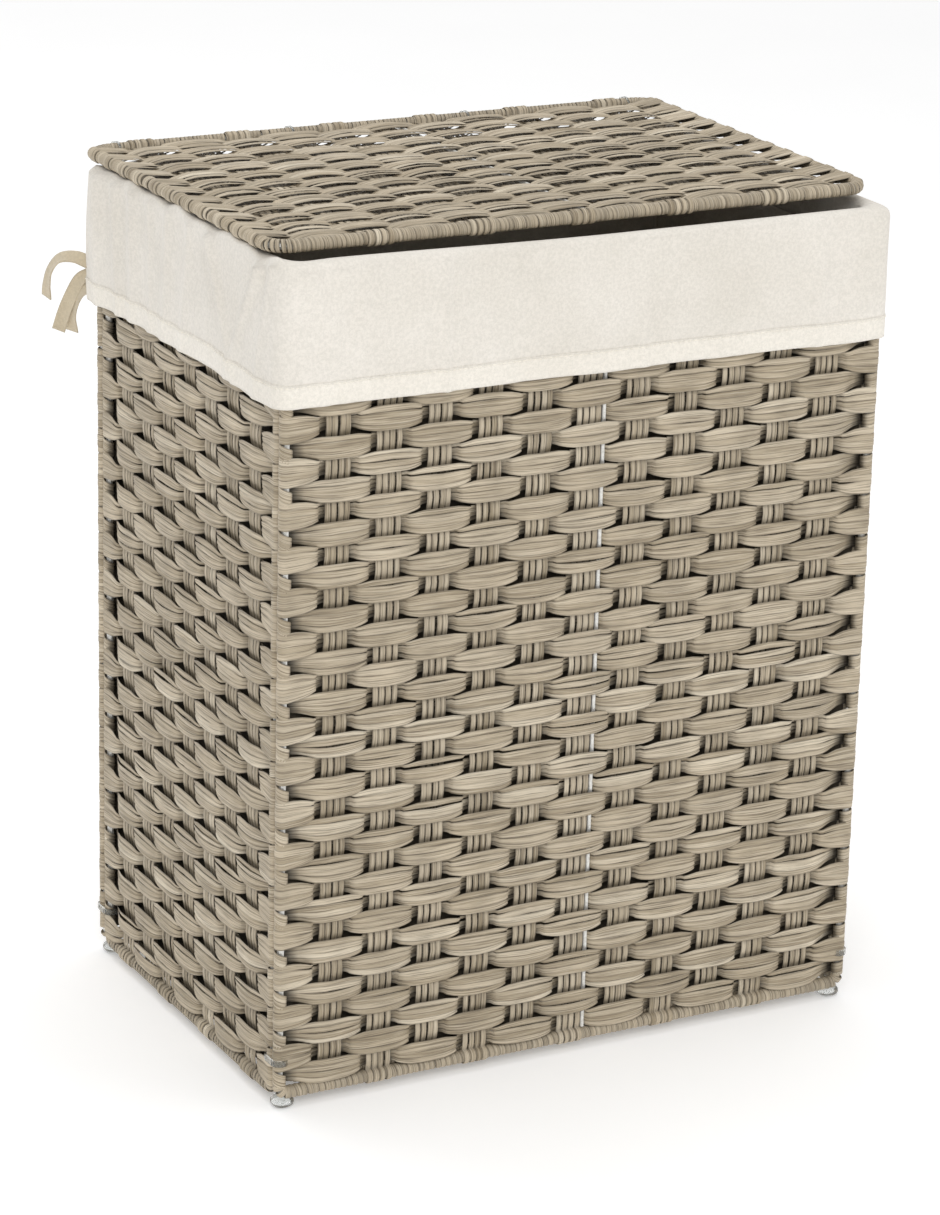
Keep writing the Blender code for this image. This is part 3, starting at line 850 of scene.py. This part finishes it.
def make_tapes(material):
    """The three flat ends of the liner's tie, with a selvedge bead along both edges."""
    low, high = cad_box("liner_cuff")
    to_world = np.array([0, (low[1] + high[1]) / 2, 0])
    across = np.linspace(-0.5, 0.5, 9)
    bead = np.where(np.abs(across) > 0.4, 1.5, 1.0)
    widths = np.concatenate([across, across[::-1]]) * TAPE_WIDTH
    for index, (name, route) in enumerate(TAPE_ROUTES.items()):
        path = np.array(catmull_rom([Vector(p) for p in route], 6)) + to_world
        tangent = unit(np.gradient(path, axis=0))
        side = unit(np.cross(TAPE_FACES[index], tangent))
        t = np.linspace(0, 1, len(path))[:, None]
        twist = 0.25 * np.sin(3.0 * t + index)
        side, normal = twisted(side, np.cross(tangent, side), twist)
        cup = 0.0009 * np.sin(math.pi * t) * (4 * across**2 - 0.4)
        rows = []
        for face in (1, -1):
            lift = cup + face * TAPE_T / 2 * bead
            row = (
                path[:, None, :]
                + side[:, None, :] * (TAPE_WIDTH * across)[None, :, None]
                + normal[:, None, :] * lift[:, :, None]
            )
            rows.append(row[:, ::face])
        rings = np.concatenate(rows, axis=1)
        n, k = rings.shape[:2]
        uv = np.stack([np.repeat(run_of(path)[:, None], k, axis=1), np.tile(widths, (n, 1))], -1)
        faces = [(a, d, c, b) for a, b, c, d in ring_faces(n, k)]
        faces += [tuple(range(k)), tuple(range(n * k - 1, (n - 1) * k - 1, -1))]
        tape = make_piece(name.replace("ribbon_tail", "tape"), rings, faces, uv, material)
        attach(tape, "root")
        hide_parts(name)


# -------- liner


def outline(half_x, half_y, radius, half_steps=88, side_steps=116, corner_steps=14):
    """Points round a rounded rectangle, anticlockwise from the middle of the back side."""

    def straight(start, end, count):
        t = np.arange(count)[:, None] / count
        return np.array(start) + (np.array(end) - np.array(start)) * t

    def corner(x, y, start):
        angle = np.radians(start + 90 * np.arange(corner_steps) / corner_steps)
        return np.stack([x + radius * np.cos(angle), y + radius * np.sin(angle)], -1)

    x, y = half_x - radius, half_y - radius
    stretches = (
        straight((0, half_y), (-x, half_y), half_steps),
        corner(-x, y, 90),
        straight((-half_x, y), (-half_x, -y), side_steps),
        corner(-x, -y, 180),
        straight((-x, -half_y), (x, -half_y), 2 * half_steps),
        corner(x, -y, 270),
        straight((half_x, -y), (half_x, y), side_steps),
        corner(x, y, 0),
        straight((x, half_y), (0, half_y), half_steps),
    )
    return np.concatenate(stretches)


def loft(name, rings, material, closed=0):
    """A surface through rings of points, with its own coordinates in metres."""
    rings = np.asarray(rings)
    n, k = rings.shape[:2]
    around = run_of(rings[n // 2])
    down = np.linalg.norm(np.diff(rings, axis=0), axis=2).mean(axis=1)
    down = np.concatenate([[0.0], np.cumsum(down)])
    uv = np.stack([np.tile(around, (n, 1)), np.repeat(down[:, None], k, axis=1)], -1)
    return make_piece(name, rings, ring_faces(n, k, closed), uv, material)


def at_height(line, z):
    """The line's points at height z, one for all or one each."""
    return np.c_[line, np.broadcast_to(z, len(line))]


def thicken(piece, thickness, offset=0):
    """Gives cloth its thickness, half to each side, or inwards where offset is -1."""
    solid = piece.modifiers.new("cloth", "SOLIDIFY")
    solid.thickness = thickness
    solid.offset = offset
    return solid


def rumple(points, scale, seed):
    """Smooth noise from -1 to 1 at each point."""
    shift = Vector((seed * 3.1, seed * 1.7, seed * 2.3))
    return np.array([noise.noise(Vector(p) * scale + shift) for p in points])


# Folds of the cuff: each one's place at the rim, how far it leans by the hem, its width, its
# strength and the share of that gone by the hem. Places at the left count from the near corner,
# and those at the front are x.
LEFT_GATHERS = (
    (0.285, 0, 0.008, 1.0, 0),
    (0.258, -0.006, 0.006, 0.9, 0),
    (0.232, 0, 0.007, 0.8, 0),
    (0.205, 0, 0.005, 0.6, 0),
    (0.172, 0.012, 0.007, 0.7, 0),
    (0.138, 0.016, 0.006, 0.6, 0),
)
LEFT_CREASES = (
    (0.028, 0.052, 0.005, 1.0, 0),
    (0.108, -0.040, 0.005, 0.9, 0),
    (0.012, 0.020, 0.004, 0.6, 0),
)
FRONT_CREASES = (
    (-0.212, 0.034, 0.005, 1.1, 1.0),
    (-0.186, -0.014, 0.005, 1.0, 0.6),
    (-0.166, -0.020, 0.004, 0.9, 0.7),
    (-0.112, 0, 0.0028, 0.9, 0),
    (-0.104, 0, 0.0022, 0.7, 1.0),
    (0.036, 0, 0.004, 0.5, 0),
    (0.172, 0, 0.005, 0.6, 0),
)


def folded(places, drop, folds):
    """The folds' sum at the places, drop of the way down."""
    return sum(
        strength * (1 - fade * drop) * ridge(places, place + lean * drop, width)
        for place, lean, width, strength, fade in folds
    )


def cuff_swell(points, out, drop):
    """How far the cuff stands out of its taut line, at places drop below the rim.

    points and out are rows round the rim, drop is 0 at the rim and 1 at the hem.
    """
    x, y = points[:, 0], points[:, 1]
    right, back = np.clip(out, 0, 1).T
    left, front = np.clip(-out, 0, 1).T
    behind = y - y.min()
    swell = 0.0016 * rumple(at_height(points, drop * 0.02), 24, 1)
    swell += 0.0007 * rumple(at_height(points, drop * 0.03), 70, 3)
    swell += left * 0.0064 * folded(behind, drop, LEFT_GATHERS) * (0.85 - 0.45 * drop)
    swell += left * 0.0058 * folded(behind, drop, LEFT_CREASES) * (1.1 - 0.8 * drop)
    swell += left * 0.0035 * ridge(behind, 0.03, 0.04) * smooth(1.6 * drop)
    swell += left * 0.0050 * smooth((behind - 0.21) / 0.09) * (0.6 + 0.4 * np.sin(3.0 * drop))
    swell += front * 0.0027 * folded(x, drop, FRONT_CREASES)
    swell += front * 0.0018 * drop * np.sin(x * 23 + 0.6) ** 2
    swell += right * 0.0030 * drop * (0.5 + 0.5 * np.sin(y * 70 + 1.0))
    swell += back * 0.0026 * drop * (0.5 + 0.5 * np.sin(x * 55 + 2.0))
    return swell


def cuff_puff(line):
    """How far the fold stands up over the rim: up to the lid at the left, flat at the right."""
    x, y = line[:, 0], line[:, 1]
    to_left = smooth((-x + 0.02) / 0.25)
    wave = 0.5 + 0.5 * np.sin(y * 95 + 0.5) * np.sin(y * 31 + 2)
    on_left = smooth((-x - 0.20) / 0.02)
    return 0.0034 * to_left * (1 - 0.45 * on_left * (1 - wave))


def rim_gathers(line):
    """How far the cloth bunches up over the left rim, outside the lid's own edge."""
    x, y = line[:, 0], line[:, 1]
    bunches = 0.5 + 0.5 * np.sin(y * 120 + 0.8) * np.sin(y * 43 + 1)
    return 0.0050 * bunches * smooth((-x - 0.215) / 0.012)


def stitch(hem_rings, hem_out):
    """The row of stitches that runs round the hem, just below its upper edge."""
    stitches = Strands()
    line = hem_rings[0] + hem_out * 0.0011 + (hem_rings[1] - hem_rings[0]) * 0.55
    distance = run_of(line)
    for start in np.arange(0.001, distance[-1] - 0.004, 0.0038):
        places = start + np.array([0, 0.0009, 0.0018, 0.0027])
        path, facing = (
            np.stack([np.interp(places, distance, rows[:, i]) for i in range(3)], -1)
            for rows in (line, hem_out)
        )
        path += facing * np.array([[-0.0002], [0.0002], [0.0002], [-0.0002]])
        stitches.add(path, facing, THREAD_W, 0.5, thickness=0.0005)
    return stitches


def make_cuff(material, hem_material, thread_material):
    """The liner's edge: up inside the walls, over the rim and down outside them to its hem."""
    low, high = cad_box("liner_cuff")
    bag_low, bag_high = cad_box("liner_bag")
    middle = (low + high) / 2
    half = (high - low) / 2 - CLOTH_T / 2
    inner = (bag_high - bag_low) / 2 - CLOTH_T / 2
    top, hem, seam = high[2] - CLOTH_T / 2, low[2], bag_high[2]
    shoulder = top - RIM_ROLL
    outer_line = outline(half[0], half[1], CUFF_CORNER_R)
    inner_line = outline(inner[0], inner[1], PANEL_BEND_R)
    step = np.roll(outer_line, -1, axis=0) - np.roll(outer_line, 1, axis=0)
    out = unit(np.stack([-step[:, 1], step[:, 0]], -1))
    out *= np.sign((out * outer_line).sum(axis=1, keepdims=True))
    rings = [at_height(inner_line, z) for z in np.linspace(seam, shoulder, 6)[:-1]]
    for angle in np.radians(np.linspace(170, 10, 9)):
        line = inner_line + (outer_line - inner_line) * (0.5 + 0.5 * math.cos(angle))
        rings.append(at_height(line, shoulder + RIM_ROLL * math.sin(angle)))
    drops = np.linspace(0.02, 1, CUFF_ROWS)
    for drop in drops:
        wave = 0.0010 * rumple(at_height(outer_line, 0), 17, 4) * drop**3
        line = outer_line + out * cuff_swell(outer_line, out, drop)[:, None]
        rings.append(at_height(line, shoulder + (hem + 0.0005 - shoulder) * drop + wave))
    rings = np.asarray(rings)
    rings[:, :, 2] += cuff_puff(outer_line) * smooth((rings[:, :, 2] - hem) / 0.085)
    outside = smooth((np.abs(rings[:, :, 0]) - half[0] + 0.0065) / 0.005)
    upper = smooth((rings[:, :, 2] - top + 0.030) / 0.026)
    rings[:, :, 2] += rim_gathers(outer_line) * outside * upper
    rings[:, :, :2] += middle[:2]
    cuff = loft("cuff", rings, material)
    thicken(cuff, CUFF_T)
    hem_rings = rings[-CUFF_ROWS:][1 - drops < HEM_HEIGHT / CUFF_DROP]
    hem_out = at_height(out, 0)
    hem_piece = loft("cuff_hem", hem_rings + hem_out * 0.0006, hem_material)
    thicken(hem_piece, HEM_T)
    stitches = stitch(hem_rings, hem_out).build("cuff_stitches", thread_material)
    for piece in (cuff, hem_piece, stitches):
        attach(piece, "root")
    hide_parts("liner_cuff")


def make_bag(material, shade_material):
    """The bag, drawn in between the corners. Its outer face, painted dark as shade, shows in the
    gaps.
    """
    low, high = cad_box("liner_bag")
    middle = (low + high) / 2
    half = (high - low) / 2 - CLOTH_T / 2
    base = outline(half[0], half[1], 0.004, 36, 48, 6)
    to_corner = np.maximum(half[0] - np.abs(base[:, 0]), half[1] - np.abs(base[:, 1]))
    slack = smooth(to_corner / 0.05)
    into_corner = 0.016 * smooth(1 - to_corner / 0.012)
    floor_z, top = low[2] + 0.0008, high[2]
    rings = []
    for inset in (0.90, 0.45, 0.16, 0.05):
        sag = 0.0004 + 0.0012 * inset
        rings.append(at_height(base * (1 - inset * 0.98), floor_z + sag))
    for t in (0.004, 0.010, *np.linspace(0.02, 1, 40)):
        z = floor_z + (top - floor_z) * t
        pull = 0.0075 * math.sin(math.pi * min(t * 1.02, 1)) ** 0.6
        fold = 0.0045 * rumple(at_height(base, z * 0.16), 21, 7)
        fold += 0.0015 * rumple(at_height(base, z * 0.5), 55, 9)
        depth = np.maximum(pull + fold * min(1, 6 * (1 - t), 14 * t), 0) * (0.12 + 0.88 * slack)
        shrink = 1 - depth / np.abs(base).max(axis=1) + into_corner * min(1, 12 * (1 - t), 14 * t)
        rings.append(at_height(base * shrink[:, None], z))
    rings = np.asarray(rings)
    rings[:, :, :2] += middle[:2]
    bag = loft("bag", rings, shade_material, closed=1)
    bag.data.materials.append(material)
    # The outer face keeps the near-black painted shade; the inner layer and its rim take the cotton
    solid = thicken(bag, BAG_T, offset=-1)
    solid.material_offset = 1
    solid.material_offset_rim = 1
    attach(bag, "root")
    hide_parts("liner_bag")
    return bag, half, top - floor_z


# -------- feet


# A cap's profile: heights above the floor, and the width there as a share of the whole
FOOT_PROFILE = (
    (0.0000, 0.56),
    (0.0005, 0.72),
    (0.0014, 0.86),
    (0.0026, 0.96),
    (0.0038, 1.00),
    (0.0050, 0.96),
    (0.0059, 0.86),
    (0.0064, 0.72),
    (0.0062, 0.56),
)
FOOT_SQUARENESS = 2.5


def make_feet(material):
    """Clear moulded caps: rounded squares, longer along one diagonal, that bulge at mid height."""
    angle = np.linspace(0, 2 * math.pi, 41)[:-1]
    round_line = np.stack([np.cos(angle), np.sin(angle)], -1)
    squared = (np.abs(round_line) ** FOOT_SQUARENESS).sum(axis=1) ** (-1 / FOOT_SQUARENESS)
    for side in ("left", "right"):
        for end in ("front", "back"):
            low, high = cad_box(f"foot_{end}_{side}")
            middle, half = (low + high) / 2, (high - low) / 2
            rings = []
            for z, share in FOOT_PROFILE:
                lobes = 0.93 + 0.07 * np.cos(2 * (angle - math.pi / 4)) * min(1, z / 0.004)
                reach = (share * lobes * squared)[:, None]
                rings.append(at_height(middle[:2] + half[:2] * reach * round_line, low[2] + z))
            foot = loft(f"cap_{end}_{side}", rings, material, closed=2)
            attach(foot, "root")
            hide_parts(f"foot_{end}_{side}")


# -------- lid ties


def make_lid_ties(material):
    """Clear ties, each a figure of eight round the lid's back rail and the wall's top rail."""
    panels = {panel.name: panel for panel in PANELS}
    lid, wall = panels["lid"], panels["back"]
    lid_rail = np.array([lid.middle[1] + lid.half_v, lid.middle[2]])
    wall_rail = np.array([wall.middle[1], wall.middle[2] + wall.half_v])
    spacing = np.linalg.norm(wall_rail - lid_rail)
    toward = (wall_rail - lid_rail) / spacing
    beside = np.array([-toward[1], toward[0]])
    leaves = math.acos(2 * TIE_R / spacing)
    angles = np.linspace(leaves, 2 * math.pi - leaves, 19)[:, None]
    across = np.cos(angles) * toward * TIE_R, np.sin(angles) * beside * TIE_R
    upper = lid_rail + across[0] + across[1]
    lower = wall_rail - across[0] + across[1]
    shift = np.linspace(-0.55, 0.55, len(angles)) * TIE_BAND
    line = np.concatenate([upper, lower, upper[:1]])
    shift = np.concatenate([shift, -shift, shift[:1]])
    run = np.gradient(line, axis=0)
    face = unit(np.stack([run[:, 1], -run[:, 0]], -1))
    head_angles = np.radians(np.linspace(138, 172, 5))[:, None]
    head_out = np.cos(head_angles) * toward + np.sin(head_angles) * beside
    for tie in range(1, LID_TIES + 1):
        low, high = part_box(f"lid_hinge_tie_{tie}")
        x = (low[0] + high[0]) / 2
        band = Strands()
        band.add(np.c_[x + shift, line], np.c_[0 * shift, face], TIE_BAND, 0.5)
        head = np.c_[np.full(len(head_out), x), lid_rail + head_out * (TIE_R + 0.0011)]
        facing = np.c_[np.zeros(len(head_out)), head_out]
        band.add(head, facing, TIE_HEAD_W, 0.5, thickness=TIE_HEAD_T)
        piece = band.build(f"lid_tie_{tie}", material)
        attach(piece, "root")
        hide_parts(f"lid_hinge_tie_{tie}")


# -------- finish


def paint_cad(materials):
    """Gives the CAD nodes that stay in view a material with detail."""
    for name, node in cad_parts.items():
        if name.endswith(("frame_rod", "centre_rod")):
            chosen = materials["wire"]
        elif name.startswith(("corner_tie", "bottom_hinge_tie")):
            chosen = materials["clear"]
        else:
            continue
        node.data.materials.clear()
        node.data.materials.append(chosen)


def main():
    make_camera()
    cotton = cotton_material("cotton_cloth", (0.792, 0.752, 0.692), (0.716, 0.676, 0.610))
    hem = cotton_material("cotton_hem", (0.850, 0.808, 0.735), (0.795, 0.750, 0.675))
    tape = cotton_material("cotton_tape", (0.640, 0.555, 0.410), (0.500, 0.420, 0.295), 0.0009)
    thread = cotton_material("hem_thread", (0.93, 0.89, 0.80), (0.88, 0.83, 0.73), 0.0004)
    make_tapes(tape)
    rattan = rattan_material("rattan_strand")
    materials = {"wire": wire_material(), "clear": clear_material()}
    make_studio(floor_material())
    for panel in PANELS:
        weave_panel(panel, rattan)
    make_cuff(cotton, hem, thread)
    # The bag's inside: the cuff's cotton painted darker and browner, as the shade inside the hamper
    inside = cotton_material("cotton_inside_painted_shade", (0.690, 0.640, 0.560), (0.610, 0.560, 0.480))
    bag, half, height = make_bag(inside, liner_back_material())
    make_feet(materials["clear"])
    make_lid_ties(materials["clear"])
    paint_cad(materials)
    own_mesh(bag)


main()
